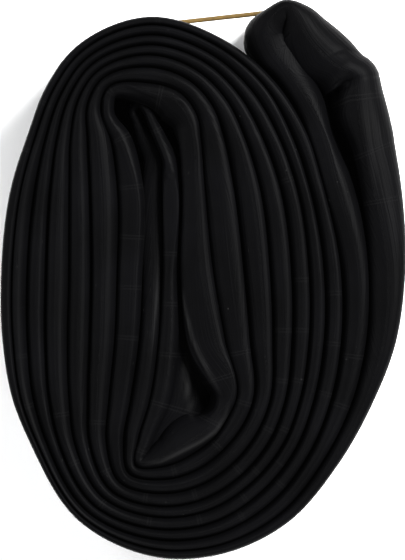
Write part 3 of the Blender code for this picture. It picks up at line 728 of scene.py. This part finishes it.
def band_mesh():
    """A flat band on the outline of the groove, straight where it spans the notch."""
    right = np.stack((ways[:, 1], -ways[:, 0]), 1)
    skins = []
    for first, sign in ((FIRST_SIDE, 1), (FIRST_SIDE + PER_SIDE, -1)):
        reach = rings[:, first] - rings[:, first + GROOVE]
        skins.append(rings[:, :2] + sign * right * reach[:, None])
    corners = hull(np.concatenate(skins))
    ahead = np.roll(corners, -1, 0) - corners
    ahead /= np.linalg.norm(ahead, axis=1)[:, None]
    both = ahead + np.roll(ahead, 1, 0)
    both /= np.linalg.norm(both, axis=1)[:, None]
    outward = np.stack((both[:, 1], -both[:, 0]), 1)
    section = [(BAND_OUT + x * BAND_THICK, MIDDLE + z * BAND_WIDE / (2 * BAND_EDGE))
               for x, z in BAND_SECTION]
    verts = [((c[0] + o[0] * x) * MM, (c[1] + o[1] * x) * MM, z * MM)
             for c, o in zip(corners, outward) for x, z in section]
    made = bpy.data.meshes.new("rubber_band_skin")
    made.from_pydata(verts, [], ring_faces(len(corners), len(section)))
    made.flip_normals()
    made.shade_smooth()
    return made


band = bpy.data.objects.new("rubber_band_skin", band_mesh())
SCENE.collection.objects.link(band)
band.data.materials.append(textured("latex", (0.10, 0.062, 0.018), roughness=0.6, metallic=0.0,
                                    scale=900.0, spread=0.25, bump_depth=0.00005, specular=0.15))
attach(band, "roll")
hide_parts("rubber_band")


def spring_mesh():
    """The valve core's spring: a coiled wire with flat ends, round the valve's axis."""
    per_turn, around = SPRING_ROUND, WIRE_ROUND
    count = SPRING_TURNS * per_turn
    wx, wy = VALVE_WAY
    verts, faces = [], []
    for index in range(count + 1):
        turn = math.tau * index / per_turn
        share = portion((index - per_turn * FLAT_END) / (count - per_turn * 2 * FLAT_END))
        level = SPRING_LOW + SPRING_WIRE + (SPRING_HIGH - SPRING_LOW - 2 * SPRING_WIRE) * share
        for corner in range(around):
            a = math.tau * corner / around
            r = SPRING_RADIUS + SPRING_WIRE * math.cos(a)
            s = level + SPRING_WIRE * math.sin(a)
            side = r * math.cos(turn)
            verts.append(((VALVE_FOOT[0] + wx * s - wy * side) * MM,
                          (VALVE_FOOT[1] + wy * s + wx * side) * MM,
                          (MIDDLE + r * math.sin(turn)) * MM))
        if index:
            a, b = (index - 1) * around, index * around
            for corner in range(around):
                other = (corner + 1) % around
                faces.append((a + corner, a + other, b + other, b + corner))
    faces.append(tuple(range(around))[::-1])
    faces.append(tuple(range(count * around, count * around + around)))
    made = bpy.data.meshes.new("core_spring_skin")
    made.from_pydata(verts, [], faces)
    made.shade_smooth()
    return made


FINISHES = {
    "brass": textured("turned_brass", (0.72, 0.50, 0.20), roughness=0.28, metallic=1.0,
                      scale=1500.0, spread=0.15, bump_depth=0.00002),
    "spring_steel": textured("wire_steel", (0.55, 0.55, 0.56), roughness=0.3, metallic=1.0,
                             scale=1500.0, spread=0.1, bump_depth=0.00002),
    "seal_rubber": textured("seal", (0.012, 0.012, 0.013), roughness=0.55, metallic=0.0,
                            scale=1200.0, spread=0.3, bump_depth=0.00003),
    "black_plastic": textured("moulded_plastic", (0.01, 0.01, 0.011), roughness=0.4, metallic=0.0,
                              scale=1500.0, spread=0.2, bump_depth=0.00002),
}
spring = bpy.data.objects.new("core_spring_skin", spring_mesh())
SCENE.collection.objects.link(spring)
spring.data.materials.append(FINISHES["spring_steel"])
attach(spring, "core")
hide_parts("core_spring")
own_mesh(spring)
for row in frame["record"]["subparts"]:
    node = frame["nodes"][row["node"]]
    if row["material_slot"] in FINISHES:
        node.data.materials.clear()
        node.data.materials.append(FINISHES[row["material_slot"]])


# ---- floor, light, camera ----------------------------------------------------------------------
FLOOR_CORNERS = ((-3, -3, 0), (3, -3, 0), (3, 3, 0), (-3, 3, 0))        # metres
FLOOR_BELOW = 0.0002            # metres from the rest face down to the floor
floor_mesh = bpy.data.meshes.new("floor")
floor_mesh.from_pydata(FLOOR_CORNERS, [], [(0, 1, 2, 3)])
floor = bpy.data.objects.new("floor", floor_mesh)
floor.location.z = -FLOOR_BELOW
SCENE.collection.objects.link(floor)
floor_mesh.materials.append(textured("floor_paper", (0.93, 0.93, 0.93), roughness=0.9, metallic=0.0,
                                     scale=40.0, spread=0.01, bump_depth=0.0001, specular=0.2))

world = bpy.data.worlds.new("studio")
SCENE.world = world
world.use_nodes = True
world_nodes, world_links = world.node_tree.nodes, world.node_tree.links
sky = world_nodes["Background"]
sky.inputs["Color"].default_value = (0.95, 0.97, 1.0, 1.0)
coordinates = world_nodes.new("ShaderNodeTexCoord")
parts = world_nodes.new("ShaderNodeSeparateXYZ")
world_links.new(coordinates.outputs["Generated"], parts.inputs["Vector"])
height = world_nodes.new("ShaderNodeMapRange")
height.inputs["From Min"].default_value = 0.35
height.inputs["From Max"].default_value = 0.95
height.inputs["To Min"].default_value = 0.6
height.inputs["To Max"].default_value = 0.055
world_links.new(parts.outputs["Z"], height.inputs["Value"])
world_links.new(height.outputs["Result"], sky.inputs["Strength"])


LIT_POINT = (0, 0, 0.03)


def area_light(name, location, size, power):
    light = bpy.data.lights.new(name, "AREA")
    light.shape = "SQUARE"
    light.size = size
    light.energy = power
    made = bpy.data.objects.new(name, light)
    SCENE.collection.objects.link(made)
    made.location = location
    made.rotation_euler = (Vector(LIT_POINT) - Vector(location)).to_track_quat("-Z", "Y").to_euler()


area_light("key", (0.62, 0.4, 0.9), size=0.5, power=46.5)
area_light("fill", (-0.8, 0.3, 0.7), size=0.8, power=10.5)
area_light("front", (0.1, -0.9, 0.8), size=0.8, power=9.5)
SCENE.view_settings.view_transform = "Standard"

camera_data = bpy.data.cameras.new("camera")
camera = bpy.data.objects.new("camera", camera_data)
SCENE.collection.objects.link(camera)
SCENE.camera = camera
DISTANCE = 1.6                  # metres from the roll's top to the camera
VIEW_HEIGHT = 0.1111            # metres that the picture takes in from bottom to top, at the roll's top
VIEW_DOWN = 0.0002              # metres from the roll's centre down to the picture's
SENSOR = 24.0
camera.location = (CENTRE[0] * MM, CENTRE[1] * MM - VIEW_DOWN, FLAT_WIDTH * MM + DISTANCE)
camera_data.sensor_fit = "VERTICAL"
camera_data.sensor_height = SENSOR
camera_data.lens = SENSOR * DISTANCE / VIEW_HEIGHT
camera_data.clip_start = 0.01
